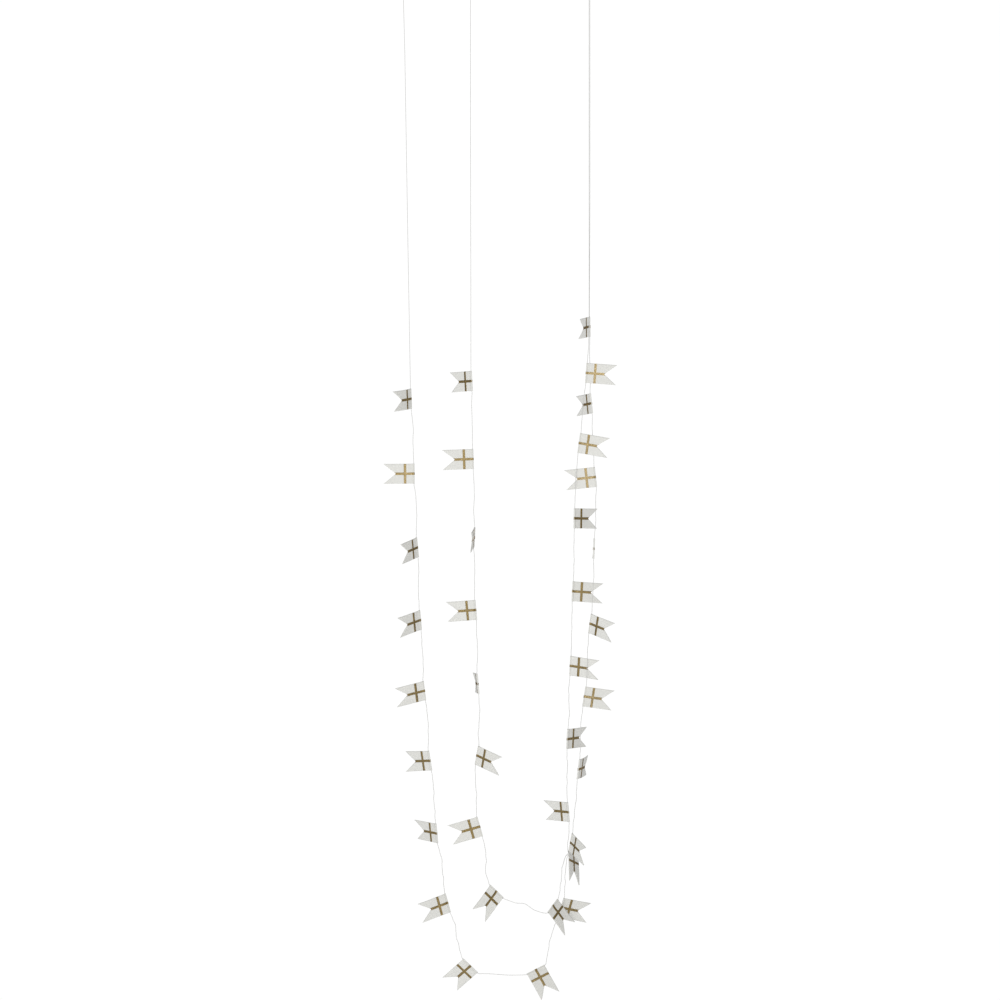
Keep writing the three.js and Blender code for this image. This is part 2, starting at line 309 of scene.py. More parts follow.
class CrossSettings(bpy.types.PropertyGroup):
    """Sizes and colours of the gold crosses."""

    bar: bpy.props.FloatProperty(
        name="Bar", description="Width of both bars",
        default=0.0037, min=0.001, precision=5, unit="LENGTH")
    from_fold: bpy.props.FloatProperty(
        name="From the fold", description="Folded edge to the middle of the upright bar",
        default=0.0144, min=0.005, precision=5, unit="LENGTH")
    thickness: bpy.props.FloatProperty(
        name="Thickness", description="Film that carries the glitter",
        default=0.00012, min=0.00002, precision=5, unit="LENGTH")
    flake: bpy.props.FloatProperty(
        name="Flake", description="Glitter flake, corner to corner",
        default=0.0007, min=0.0001, precision=5, unit="LENGTH")
    flake_gap: bpy.props.FloatProperty(
        name="Flake gap", description="Least distance between the middles of two flakes",
        default=0.00042, min=0.0001, precision=5, unit="LENGTH")
    tilt: bpy.props.FloatProperty(
        name="Tilt", description="How far a flake may tip from the film",
        default=math.radians(19), min=0, unit="ROTATION")
    bright: bpy.props.FloatVectorProperty(
        name="Bright", description="Palest flakes",
        default=(0.48, 0.35, 0.117), size=3, min=0, max=1, subtype="COLOR")
    deep: bpy.props.FloatVectorProperty(
        name="Deep", description="Darkest flakes",
        default=(0.11, 0.066, 0.003), size=3, min=0, max=1, subtype="COLOR")
    film: bpy.props.FloatVectorProperty(
        name="Film", description="Film between the flakes",
        default=(0.26, 0.195, 0.084), size=3, min=0, max=1, subtype="COLOR")


class StageSettings(bpy.types.PropertyGroup):
    """Camera, lights and floor."""

    distance: bpy.props.FloatProperty(
        name="Distance", description="Camera to the garland's plane",
        default=10, min=1, unit="LENGTH")
    picture: bpy.props.FloatProperty(
        name="Picture", description="Width and height of the view at the garland's plane",
        default=1.5, min=0.1, unit="LENGTH")
    middle: bpy.props.FloatVectorProperty(
        name="Middle", description="Middle of the view",
        default=(-0.13425, 0, -0.78), size=3, subtype="TRANSLATION")
    key_place: bpy.props.FloatVectorProperty(
        name="Key place", description="Soft main light",
        default=(-0.15, -2.6, -0.35), size=3, subtype="TRANSLATION")
    key_size: bpy.props.FloatVectorProperty(
        name="Key size", description="Width and height of the soft main light",
        default=(2.5, 1.7), size=2, min=0.1, unit="LENGTH")
    key_watts: bpy.props.FloatProperty(
        name="Key power", description="Power of the soft main light", default=15.2, min=0)
    key_colour: bpy.props.FloatVectorProperty(
        name="Key colour", description="Warm tint of the soft main light",
        default=(1, 0.987, 0.9), size=3, min=0, max=1, subtype="COLOR")
    accent_place: bpy.props.FloatVectorProperty(
        name="Accent place", description="Long light that the gold mirrors",
        default=(-1.24, -2.3, -0.73), size=3, subtype="TRANSLATION")
    accent_size: bpy.props.FloatVectorProperty(
        name="Accent size", description="Width and height of the long light",
        default=(1.4, 0.8), size=2, min=0.1, unit="LENGTH")
    accent_watts: bpy.props.FloatProperty(
        name="Accent power", description="Power of the long light", default=12, min=0)
    accent_colour: bpy.props.FloatVectorProperty(
        name="Accent colour", description="Tint of the long light",
        default=(0.96, 0.98, 1), size=3, min=0, max=1, subtype="COLOR")
    fill_place: bpy.props.FloatVectorProperty(
        name="Fill place", description="Soft light behind the garland",
        default=(0.5, 2.7, -0.6), size=3, subtype="TRANSLATION")
    fill_size: bpy.props.FloatVectorProperty(
        name="Fill size", description="Width and height of the light behind the garland",
        default=(1.6, 1.2), size=2, min=0.1, unit="LENGTH")
    fill_watts: bpy.props.FloatProperty(
        name="Fill power", description="Power of the light behind the garland", default=12, min=0)
    fill_colour: bpy.props.FloatVectorProperty(
        name="Fill colour", description="Tint of the light behind the garland",
        default=(1, 0.99, 0.96), size=3, min=0, max=1, subtype="COLOR")
    ambient: bpy.props.FloatVectorProperty(
        name="Ambient", description="Light from all round",
        default=(0.445, 0.447, 0.451), size=3, min=0, max=2, subtype="COLOR")
    below: bpy.props.FloatProperty(
        name="From below", description="How many times brighter the light from below is",
        default=1.85, min=0)
    floor_level: bpy.props.FloatProperty(
        name="Floor level", description="Height of the pale floor under the hung garland",
        default=-1.75, unit="LENGTH")
    floor_radius: bpy.props.FloatProperty(
        name="Floor radius", description="Reach of the pale floor", default=2.6, min=1, unit="LENGTH")
    # Painted light: the floor's glow stands in for light bounced up from below
    floor_glow: bpy.props.FloatProperty(
        name="Floor glow", description="Light that the pale floor gives off", default=0.22, min=0)


class GarlandSettings(bpy.types.PropertyGroup):
    """All settings of the garland."""

    cord: bpy.props.PointerProperty(name="Cord", description="Twisted cord", type=CordSettings)
    eye: bpy.props.PointerProperty(name="Eyes", description="Hanging eyes", type=EyeSettings)
    flag: bpy.props.PointerProperty(name="Flags", description="Cloth flags", type=FlagSettings)
    cross: bpy.props.PointerProperty(name="Crosses", description="Gold crosses", type=CrossSettings)
    stage: bpy.props.PointerProperty(name="Stage", description="Camera, lights, floor", type=StageSettings)


# Node trees

def place(tree, kind, inputs=None, **settings):
    """Adds a node, with its settings, and links or fills its inputs by name or number."""
    made = tree.nodes.new(kind)
    for name, value in settings.items():
        setattr(made, name, value)
    for key, value in (inputs or {}).items():
        if isinstance(value, bpy.types.NodeSocket):
            tree.links.new(value, made.inputs[key])
        else:
            made.inputs[key].default_value = value
    return made


def calc(tree, operation, *values):
    """The result of one piece of arithmetic."""
    return place(tree, "ShaderNodeMath", dict(enumerate(values)), operation=operation).outputs[0]


def blend(tree, share, first, second):
    """A colour between two colours."""
    factor, colour_a, colour_b, result = 0, 6, 7, 2
    inputs = {factor: share, colour_a: first, colour_b: second}
    return place(tree, "ShaderNodeMix", inputs, data_type="RGBA").outputs[result]


def mapped(tree, value, before, after, way="LINEAR"):
    """A value carried from one range to another, and held at the ends."""
    inputs = dict(enumerate((value, *before, *after)))
    return place(tree, "ShaderNodeMapRange", inputs, interpolation_type=way).outputs[0]


def opaque(colour):
    """A colour setting as a node's colour."""
    return (*colour, 1)


def new_group(name, kind, inputs, outputs):
    """A node group with named sockets, and its input and output nodes. Inputs are (name, type, default)."""
    tree = bpy.data.node_groups.new(name, kind)
    for label, socket_type, default in inputs:
        socket = tree.interface.new_socket(label, in_out="INPUT", socket_type=socket_type)
        if default is not None:
            socket.default_value = default
    for label, socket_type in outputs:
        tree.interface.new_socket(label, in_out="OUTPUT", socket_type=socket_type)
    return tree, tree.nodes.new("NodeGroupInput"), tree.nodes.new("NodeGroupOutput")


def yarn_grain_group():
    """Streaks of fibres along a yarn, used by the cloth and the cord: X runs across it and Y along it."""
    inputs = [
        ("Across", "NodeSocketFloat", 0),
        ("Along", "NodeSocketFloat", 0),
        ("Fineness", "NodeSocketFloat", 4000),
        ("Streak", "NodeSocketFloat", 20),
    ]
    tree, given, result = new_group("Yarn grain", "ShaderNodeTree", inputs, [("Tone", "NodeSocketFloat")])
    across = calc(tree, "MULTIPLY", given.outputs["Across"], given.outputs["Fineness"])
    stretched = calc(tree, "DIVIDE", given.outputs["Fineness"], given.outputs["Streak"])
    along = calc(tree, "MULTIPLY", given.outputs["Along"], stretched)
    where = place(tree, "ShaderNodeCombineXYZ", {0: across, 1: along}).outputs[0]
    noise = place(tree, "ShaderNodeTexNoise", {"Vector": where, "Scale": 1, "Detail": 3, "Roughness": 0.6})
    tree.links.new(noise.outputs[0], result.inputs["Tone"])
    return tree


def weave_group():
    """Plain weave on a cloth map in metres: which thread is on top, and how high it stands."""
    inputs = [("Map", "NodeSocketVector", None), ("Thread", "NodeSocketFloat", 0.0005)]
    outputs = [("Hoist Thread", "NodeSocketFloat"), ("Height", "NodeSocketFloat")]
    tree, given, result = new_group("Plain weave", "ShaderNodeTree", inputs, outputs)
    parts = place(tree, "ShaderNodeSeparateXYZ", {0: given.outputs["Map"]})
    turns = calc(tree, "DIVIDE", math.pi, given.outputs["Thread"])
    waves = [calc(tree, "SINE", calc(tree, "MULTIPLY", parts.outputs[k], turns)) for k in (0, 1)]
    on_top = calc(tree, "GREATER_THAN", calc(tree, "MULTIPLY", *waves), 0.0)
    across, along = (calc(tree, "ABSOLUTE", wave) for wave in waves)
    swell, least = 0.45, 0.55
    hoist_thread = calc(tree, "MULTIPLY", across, calc(tree, "MULTIPLY_ADD", along, swell, least))
    fly_thread = calc(tree, "MULTIPLY", along, calc(tree, "MULTIPLY_ADD", across, swell, least))
    difference = calc(tree, "SUBTRACT", hoist_thread, fly_thread)
    tree.links.new(on_top, result.inputs["Hoist Thread"])
    tree.links.new(calc(tree, "MULTIPLY_ADD", difference, on_top, fly_thread), result.inputs["Height"])
    return tree


def shared_group(name, make):
    """A node group that is built once."""
    return bpy.data.node_groups.get(name) or make()


def new_material(name):
    """A material's tree and its Principled shader."""
    material = bpy.data.materials.new(name)
    material.use_nodes = True
    tree = material.node_tree
    return material, tree, tree.nodes["Principled BSDF"]


def yarn_grain(tree, across, along, fineness, streak):
    """One use of the fibre streaks."""
    inputs = {"Across": across, "Along": along, "Fineness": fineness, "Streak": streak}
    group = shared_group("Yarn grain", yarn_grain_group)
    return place(tree, "ShaderNodeGroup", inputs, node_tree=group).outputs["Tone"]


def cloth_material(settings):
    """Matt white cotton in a plain weave with uneven threads along the hoist, with painted shade in the
    weave's low places and along the crease by the cord.
    """
    material, tree, shader = new_material("flag_cotton")
    cloth_map = place(tree, "ShaderNodeUVMap", uv_map="cloth").outputs[0]
    weave = place(
        tree, "ShaderNodeGroup", {"Map": cloth_map, "Thread": settings.thread},
        node_tree=shared_group("Plain weave", weave_group))
    parts = place(tree, "ShaderNodeSeparateXYZ", {0: cloth_map})
    fly, hoist = parts.outputs[0], parts.outputs[1]
    hoist_yarn, fly_yarn, fibre = 1100, 1300, 9000
    yarn_streak, fibre_streak = 40, 5
    hoist_grain = yarn_grain(tree, fly, hoist, hoist_yarn, yarn_streak)
    fly_grain = yarn_grain(tree, hoist, fly, fly_yarn, yarn_streak)
    fibres = yarn_grain(tree, fly, hoist, fibre, fibre_streak)
    hoist_share = calc(tree, "MULTIPLY", hoist_grain, weave.outputs["Hoist Thread"])
    fly_side = calc(tree, "SUBTRACT", 1.0, weave.outputs["Hoist Thread"])
    grain = calc(tree, "MULTIPLY_ADD", fly_grain, fly_side, hoist_share)
    # The weave's low places get painted shade; the grain is the yarns' own uneven tone
    weave_shade_share, grain_share, fibre_share = 0.35, 0.9, 0.25
    uneven = calc(tree, "MULTIPLY", grain, grain_share)
    light = calc(tree, "MULTIPLY_ADD", weave.outputs["Height"], weave_shade_share, uneven)
    tone = mapped(tree, light, (0.3, 1), (0.35, 1))
    colour = blend(tree, tone, opaque(settings.shade), opaque(settings.colour))
    # Painted shade along the crease where each leaf leaves the cord
    crease_at, crease_core, crease_edge, crease_shade_depth = 0.0024, 0.0002, 0.0011, 0.6
    past_crest = calc(tree, "ABSOLUTE", fly)
    off_crease = calc(tree, "ABSOLUTE", calc(tree, "SUBTRACT", past_crest, crease_at))
    crease_shade = mapped(tree, off_crease, (crease_core, crease_edge), (crease_shade_depth, 0), "SMOOTHSTEP")
    colour = blend(tree, crease_shade, colour, opaque(settings.crease_shade_colour))
    tree.links.new(colour, shader.inputs["Base Color"])
    relief = calc(tree, "MULTIPLY_ADD", fibres, fibre_share, weave.outputs["Height"])
    bump = place(tree, "ShaderNodeBump", {"Strength": 0.3, "Distance": 0.00008, "Height": relief})
    tree.links.new(bump.outputs[0], shader.inputs["Normal"])
    shader.inputs["Roughness"].default_value = 0.9
    shader.inputs["Specular IOR Level"].default_value = 0.25
    shader.inputs["Sheen Weight"].default_value = 0.08
    shader.inputs["Sheen Roughness"].default_value = 0.5
    return material


def gold_material(settings):
    """Glitter: each flake has a tone and gloss of its own, on a film of a middle tone."""
    material, tree, shader = new_material("glitter_gold")
    flake = place(tree, "ShaderNodeAttribute", attribute_name="flake_tone").outputs["Fac"]
    where = place(tree, "ShaderNodeTexCoord").outputs["Object"]
    cloud = place(tree, "ShaderNodeTexNoise", {"Vector": where, "Scale": 700, "Detail": 2}).outputs[0]
    grit = place(tree, "ShaderNodeTexVoronoi", {"Vector": where, "Scale": 3500})
    cloud_share, flake_share, dimmed = 0.6, 0.8, -0.2
    own = calc(tree, "MULTIPLY_ADD", flake, flake_share, dimmed)
    mixed = calc(tree, "MULTIPLY_ADD", cloud, cloud_share, own)
    flake_colour = blend(tree, mixed, opaque(settings.deep), opaque(settings.bright))
    is_flake = calc(tree, "GREATER_THAN", flake, 0.0)
    colour = blend(tree, is_flake, opaque(settings.film), flake_colour)
    tree.links.new(colour, shader.inputs["Base Color"])
    film_rough, dull_flake, glossy_flake = 0.36, 0.5, 0.3
    flake_rough = mapped(tree, mixed, (0, 1), (dull_flake - film_rough, glossy_flake - film_rough))
    rough = calc(tree, "MULTIPLY_ADD", flake_rough, is_flake, film_rough)
    tree.links.new(rough, shader.inputs["Roughness"])
    bump = place(tree, "ShaderNodeBump", {"Strength": 0.4, "Distance": 0.00005, "Height": grit.outputs[0]})
    tree.links.new(bump.outputs[0], shader.inputs["Normal"])
    shader.inputs["Metallic"].default_value = 1
    shader.inputs["Specular Tint"].default_value = (0.6, 0.42, 0.2, 1)
    shader.inputs["Coat Weight"].default_value = 0.8
    shader.inputs["Coat Tint"].default_value = (1, 0.95, 0.85, 1)
    shader.inputs["Coat Roughness"].default_value = 0.2
    shader.inputs["Coat IOR"].default_value = 1.6
    return material


def string_material(settings):
    """Off-white twisted cotton with painted shade in the grooves between its plies, and streaks of fibres and
    slubs.
    """
    material, tree, shader = new_material("cotton_string")
    along = place(tree, "ShaderNodeAttribute", attribute_name="string_along").outputs["Fac"]
    crown = place(tree, "ShaderNodeAttribute", attribute_name="string_crown").outputs["Fac"]
    around = place(tree, "ShaderNodeAttribute", attribute_name="string_round").outputs["Fac"]
    fibre, fibre_streak, slub, slub_streak = 2600, 6, 300, 1
    fibres = yarn_grain(tree, around, along, fibre, fibre_streak)
    slubs = yarn_grain(tree, around, along, slub, slub_streak)
    # Painted shade: the crowns of the plies stay light and the grooves get painted shade; fibres and slubs
    # are the cotton's own uneven tone
    fibre_share, groove_shade_share, slub_share, dimmed = 0.5, 0.7, 0.25, 0.1
    groove_shaded = calc(tree, "MULTIPLY_ADD", crown, groove_shade_share, -dimmed)
    light = calc(tree, "MULTIPLY_ADD", fibres, fibre_share, groove_shaded)
    tone = calc(tree, "MULTIPLY_ADD", slubs, slub_share, calc(tree, "SUBTRACT", light, dimmed))
    colour = blend(tree, tone, opaque(settings.groove_shade_colour), opaque(settings.colour))
    tree.links.new(colour, shader.inputs["Base Color"])
    bump = place(tree, "ShaderNodeBump", {"Strength": 0.6, "Distance": 0.00006, "Height": fibres})
    tree.links.new(bump.outputs[0], shader.inputs["Normal"])
    shader.inputs["Roughness"].default_value = 0.85
    shader.inputs["Specular IOR Level"].default_value = 0.25
    shader.inputs["Sheen Weight"].default_value = 0.1
    return material


# Geometry Nodes

def twisted_cord_tree():
    """Sweeps a section of several lobes along each line of a wire mesh, turning it as plies turn."""
    inputs = [
        ("Lines", "NodeSocketGeometry", None),
        ("Diameter", "NodeSocketFloat", 0.0009),
        ("Plies", "NodeSocketInt", 3),
        ("Lay", "NodeSocketFloat", 0.0054),
        ("Groove", "NodeSocketFloat", 0.2),
        ("Step", "NodeSocketFloat", 0.0005),
        ("Ply Sides", "NodeSocketInt", 4),
        ("Cotton", "NodeSocketMaterial", None),
    ]
    tree, given, result = new_group(
        "Twisted cord", "GeometryNodeTree", inputs, [("Cord", "NodeSocketGeometry")])
    size = given.outputs
    curve = place(tree, "GeometryNodeMeshToCurve", {"Mesh": size["Lines"]}).outputs[0]
    curve = place(
        tree, "GeometryNodeResampleCurve", {"Curve": curve, "Length": size["Step"]}, mode="LENGTH").outputs[0]
    length = place(tree, "GeometryNodeSplineParameter").outputs["Length"]
    turns = calc(tree, "DIVIDE", length, size["Lay"])
    tilt = calc(tree, "MULTIPLY", turns, math.tau)
    curve = place(tree, "GeometryNodeSetCurveTilt", {"Curve": curve, "Tilt": tilt}).outputs[0]
    curve = place(
        tree, "GeometryNodeStoreNamedAttribute",
        {"Geometry": curve, "Name": "string_along", "Value": length}, domain="POINT").outputs[0]

    sides = calc(tree, "MULTIPLY", size["Plies"], size["Ply Sides"])
    radius = calc(tree, "MULTIPLY", size["Diameter"], 0.5)
    section = place(
        tree, "GeometryNodeCurvePrimitiveCircle", {"Resolution": sides, "Radius": radius}).outputs[0]
    spot = place(tree, "GeometryNodeInputPosition").outputs[0]
    parts = place(tree, "ShaderNodeSeparateXYZ", {0: spot})
    angle = calc(tree, "ARCTAN2", parts.outputs[1], parts.outputs[0])
    lobe = calc(tree, "COSINE", calc(tree, "MULTIPLY", angle, size["Plies"]))
    crown = calc(tree, "MULTIPLY_ADD", lobe, 0.5, 0.5)
    depth = calc(tree, "MULTIPLY", calc(tree, "SUBTRACT", 1.0, crown), size["Groove"])
    scale = calc(tree, "SUBTRACT", 1.0, depth)
    lobed = place(tree, "ShaderNodeVectorMath", {0: spot, "Scale": scale}, operation="SCALE").outputs[0]
    around = calc(tree, "MULTIPLY", angle, radius)
    # The crown is kept for the cord's material, which paints shade into the grooves from it
    for name, value in (("string_crown", crown), ("string_round", around)):
        section = place(
            tree, "GeometryNodeStoreNamedAttribute",
            {"Geometry": section, "Name": name, "Value": value}, domain="POINT").outputs[0]
    section = place(tree, "GeometryNodeSetPosition", {"Geometry": section, "Position": lobed}).outputs[0]

    swept = place(
        tree, "GeometryNodeCurveToMesh",
        {"Curve": curve, "Profile Curve": section, "Fill Caps": True}).outputs[0]
    smooth = place(tree, "GeometryNodeSetShadeSmooth", {"Geometry": swept}).outputs[0]
    real = place(tree, "GeometryNodeRealizeInstances", {"Geometry": smooth}).outputs[0]
    done = place(tree, "GeometryNodeSetMaterial", {"Geometry": real, "Material": size["Cotton"]})
    tree.links.new(done.outputs[0], result.inputs["Cord"])
    return tree


def glitter_band_tree():
    """Lifts a cloth patch off the cloth, thickens it to a film and strews flat flakes over it."""
    inputs = [
        ("Patch", "NodeSocketGeometry", None),
        ("Lift", "NodeSocketFloat", 0.0002),
        ("Thickness", "NodeSocketFloat", 0.0001),
        ("Flake", "NodeSocketFloat", 0.0005),
        ("Flake Gap", "NodeSocketFloat", 0.0003),
        ("Tilt", "NodeSocketFloat", 0.4),
        ("Seed", "NodeSocketInt", 0),
        ("Gold", "NodeSocketMaterial", None),
    ]
    tree, given, result = new_group(
        "Glitter band", "GeometryNodeTree", inputs, [("Band", "NodeSocketGeometry")])
    size = given.outputs
    normal = place(tree, "GeometryNodeInputNormal").outputs[0]
    lift = place(tree, "ShaderNodeVectorMath", {0: normal, "Scale": size["Lift"]}, operation="SCALE")
    patch = place(
        tree, "GeometryNodeSetPosition", {"Geometry": size["Patch"], "Offset": lift.outputs[0]}).outputs[0]
    upper = place(
        tree, "GeometryNodeExtrudeMesh",
        {"Mesh": patch, "Offset Scale": size["Thickness"], "Individual": False}, mode="FACES")
    under = place(tree, "GeometryNodeFlipFaces", {"Mesh": patch}).outputs[0]
    film = place(tree, "GeometryNodeJoinGeometry", {0: under})
    tree.links.new(upper.outputs["Mesh"], film.inputs[0])
    weld = 1e-6
    closed = place(
        tree, "GeometryNodeMergeByDistance", {"Geometry": film.outputs[0], "Distance": weld}).outputs[0]
    closed = place(
        tree, "GeometryNodeSetShadeSmooth", {"Geometry": closed, "Shade Smooth": False}).outputs[0]

    densest = 2e7
    strewn = place(
        tree, "GeometryNodeDistributePointsOnFaces",
        {"Mesh": upper.outputs["Mesh"], "Selection": upper.outputs["Top"], "Seed": size["Seed"],
         "Distance Min": size["Flake Gap"], "Density Max": densest},
        distribute_method="POISSON")
    least, most, id_seed = 2, 3, 8
    lowest_tone, smallest, size_seed = 0.05, 0.6, 5
    tones = {least: lowest_tone, most: 1, id_seed: size["Seed"]}
    tone = place(tree, "FunctionNodeRandomValue", tones, data_type="FLOAT")
    spots = place(
        tree, "GeometryNodeStoreNamedAttribute",
        {"Geometry": strewn.outputs["Points"], "Name": "flake_tone", "Value": tone.outputs[1]},
        domain="POINT").outputs[0]
    back = calc(tree, "MULTIPLY", size["Tilt"], -1.0)
    lowest = place(tree, "ShaderNodeCombineXYZ", {0: back, 1: back, 2: 0.0}).outputs[0]
    highest = place(tree, "ShaderNodeCombineXYZ", {0: size["Tilt"], 1: size["Tilt"], 2: math.tau}).outputs[0]
    tip = place(
        tree, "FunctionNodeRandomValue", {0: lowest, 1: highest, id_seed: size["Seed"]},
        data_type="FLOAT_VECTOR").outputs[0]
    tip = place(tree, "FunctionNodeEulerToRotation", {0: tip}).outputs[0]
    turned_flake = place(
        tree, "FunctionNodeRotateRotation", {0: strewn.outputs["Rotation"], 1: tip},
        rotation_space="LOCAL").outputs[0]
    half = calc(tree, "MULTIPLY", size["Flake"], 0.5)
    flake_corners, flake_rise = 6, 0.00003
    flake = place(
        tree, "GeometryNodeMeshCircle", {"Vertices": flake_corners, "Radius": half},
        fill_type="NGON").outputs[0]
    sizes = {least: smallest, most: 1, id_seed: size_seed}
    shrink = place(tree, "FunctionNodeRandomValue", sizes, data_type="FLOAT").outputs[1]
    flakes = place(
        tree, "GeometryNodeInstanceOnPoints",
        {"Points": spots, "Instance": flake, "Rotation": turned_flake, "Scale": shrink}).outputs[0]
    rise = place(tree, "ShaderNodeCombineXYZ", {2: flake_rise}).outputs[0]
    flakes = place(
        tree, "GeometryNodeTranslateInstances",
        {"Instances": flakes, "Translation": rise, "Local Space": True}).outputs[0]
    real = place(tree, "GeometryNodeRealizeInstances", {"Geometry": flakes}).outputs[0]
    both = place(tree, "GeometryNodeJoinGeometry", {0: real})
    tree.links.new(closed, both.inputs[0])
    done = place(tree, "GeometryNodeSetMaterial", {"Geometry": both.outputs[0], "Material": size["Gold"]})
    tree.links.new(done.outputs[0], result.inputs["Band"])
    return tree


def grown(piece, tree, values):
    """Runs a piece's mesh through a tree with these inputs, and leaves the result as its plain mesh."""
    modifier = piece.modifiers.new(tree.name, "NODES")
    modifier.node_group = tree
    for item in tree.interface.items_tree:
        if item.in_out == "INPUT" and item.name in values:
            modifier[item.identifier] = values[item.name]
    evaluated = piece.evaluated_get(bpy.context.evaluated_depsgraph_get())
    mesh = bpy.data.meshes.new_from_object(evaluated)
    mesh.name = piece.name
    piece.modifiers.remove(modifier)
    piece.data = mesh
    if not mesh.polygons:
        raise RuntimeError(f"{piece.name} came out empty")
    return piece


# Shapes

def new_piece(name, mesh):
    """An object at the origin that shows a mesh."""
    piece = bpy.data.objects.new(name, mesh)
    bpy.context.scene.collection.objects.link(piece)
    return piece


def turned(flag):
    """A flag's rotation."""
    lean, tip, turn = (math.radians(angle) for angle in (flag.lean, flag.tip, flag.turn))
    upright = Matrix.Rotation(lean, 3, "Y") @ Matrix.Rotation(tip, 3, "X")
    return upright @ Matrix.Rotation(turn, 3, "Z")


def flags_of(swag):
    """The flags of a swag, in order."""
    return [stop for stop in SWAGS[swag] if isinstance(stop, Flag)]


def cord_corners(start, stops, end, half_straight):
    """The cord's corner points, each with the longest run that its bend may take."""
    kink_bend, fold_bend = 0.009, 0.0019
    corners = [(Vector(start), 0)]
    for stop in stops:
        if isinstance(stop, Kink):
            corners.append((Vector(stop), kink_bend))
            continue
        middle = Vector(stop[:3])
        reach = turned(stop) @ Vector((0, 0, half_straight))
        before = corners[-1][0]
        ends = sorted((middle + reach, middle - reach), key=lambda spot: (spot - before).length)
        corners += [(spot, fold_bend) for spot in ends]
    corners.append((Vector(end), 0))
    return corners


def eased(corners):
    """A line through the corners, with each corner eased into a bend."""
    bend_steps = 8
    most_share = 0.45
    line = [corners[0][0]]
    for (before, _), (here, bend), (after, _) in zip(corners, corners[1:], corners[2:]):
        arriving = here - before
        leaving = after - here
        run = min(bend, most_share * arriving.length, most_share * leaving.length)
        first = here - arriving.normalized() * run
        last = here + leaving.normalized() * run
        for step in range(bend_steps + 1):
            share = step / bend_steps
            line.append(first.lerp(here, share).lerp(here.lerp(last, share), share))
    line.append(corners[-1][0])
    return np.array(line)


def distances(line):
    """How far along a line each of its points lies."""
    return np.concatenate([[0], np.cumsum(np.linalg.norm(np.diff(line, axis=0), axis=1))])


def evenly(line, step):
    """The line again, with points about a step apart."""
    along = distances(line)
    at = np.linspace(0, along[-1], round(along[-1] / step) + 1)
    return np.stack([np.interp(at, along, line[:, axis]) for axis in range(3)], axis=1)


def slack_waves(line, folds, height):
    """Adds the small waves of slack cord, which die out at the folds and where weight pulls it straight."""
    taut_above, slack_below = -0.55, -1.3
    quiet, free = 0.017, 0.03
    to_fold = np.min(np.linalg.norm(line[:, None] - folds[None], axis=2), axis=1)
    slack = np.clip((taut_above - line[:, 2]) / (taut_above - slack_below), 0, 1)
    weight = height * slack * np.clip((to_fold - quiet) / (free - quiet), 0, 1)
    along = distances(line)
    waved = line.copy()
    long_across, short_across, long_deep, short_deep = 240, 431, 197, 389
    short_share = 0.6
    waved[:, 0] += weight * (np.sin(along * long_across) + short_share * np.sin(along * short_across + 1))
    waved[:, 1] += weight * (np.sin(along * long_deep + 2) + short_share * np.sin(along * short_deep))
    return waved


def cord_line(swag, garland):
    """A swag's cord from its own hanging point to the right one, through the folds of its flags."""
    side, right_offset = {"outer": ("left", PAIR_HALF_SPACING), "inner": ("middle", -PAIR_HALF_SPACING)}[swag]
    start = (hanging_x(side), 0, IN_KNOT)
    end = (hanging_x("right") + right_offset, 0, IN_KNOT)
    half_straight = garland.flag.hoist / 2 + STRAIGHT_PAST_FOLD
    line = evenly(eased(cord_corners(start, SWAGS[swag], end, half_straight)), CORD_STEP)
    folds = np.array([flag[:3] for flag in flags_of(swag)])
    return slack_waves(line, folds, garland.cord.waves)


def wire_mesh(name, lines):
    """A mesh of bare edges along each line."""
    mesh = bpy.data.meshes.new(name)
    points, edges = [], []
    for line in lines:
        first = len(points)
        points += [tuple(point) for point in line]
        edges += [(k, k + 1) for k in range(first, len(points) - 1)]
    mesh.from_pydata(points, edges, [])
    return mesh


def twisted(name, lines, settings):
    """A piece of twisted cord along the lines."""
    material = bpy.data.materials.get("cotton_string") or string_material(settings)
    values = {
        "Diameter": settings.diameter,
        "Plies": settings.plies,
        "Lay": settings.lay,
        "Groove": settings.groove,
        "Cotton": material,
    }
    piece = new_piece(name, wire_mesh(name, lines))
    return grown(piece, shared_group("Twisted cord", twisted_cord_tree), values)


def hanging_x(side):
    """Where a hanging point lies across, from its packed loop."""
    low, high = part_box("hanging_loop_" + side)
    return (low.x + high.x) / 2


def eye_lines(side, eye, cord):
    """The eye's strand, from inside the knot round and back, and the turns of the knot."""
    eye_points, knot_points, strand_step = 61, 97, 0.0004
    two_cord_knot, one_cord_knot, turn_spacing = 0.0022, 0.0016, 1.02
    half_apart, widest = 0.0005, 0.65
    across = hanging_x(side)
    tallest = cord.diameter / 2
    foot = eye.knot_top - cord.diameter
    strand = [(across + half_apart, 0, IN_KNOT)]
    for angle in np.linspace(0, math.tau, eye_points):
        out = math.sin(angle) * math.sin(angle / 2) ** 2 / widest * (eye.width / 2)
        out = math.copysign(max(abs(out), half_apart), math.pi - angle)
        height = tallest + (foot - tallest) * (1 + math.cos(angle)) / 2
        strand.append((across + (0 if angle == math.pi else out), 0, height))
    strand.append((across - half_apart, 0, IN_KNOT))

    knot_radius = (two_cord_knot if side == "right" else one_cord_knot) - cord.diameter / 2
    first = eye.knot_bottom + cord.diameter / 2
    last = eye.knot_top - cord.diameter / 2
    turns = (last - first) / (cord.diameter * turn_spacing)
    wound = []
    for share in np.linspace(0, 1, knot_points):
        angle = share * turns * math.tau
        spot = (across + knot_radius * math.cos(angle), knot_radius * math.sin(angle))
        wound.append((*spot, first + (last - first) * share))
    return [evenly(np.array(strand), strand_step), np.array(wound)]


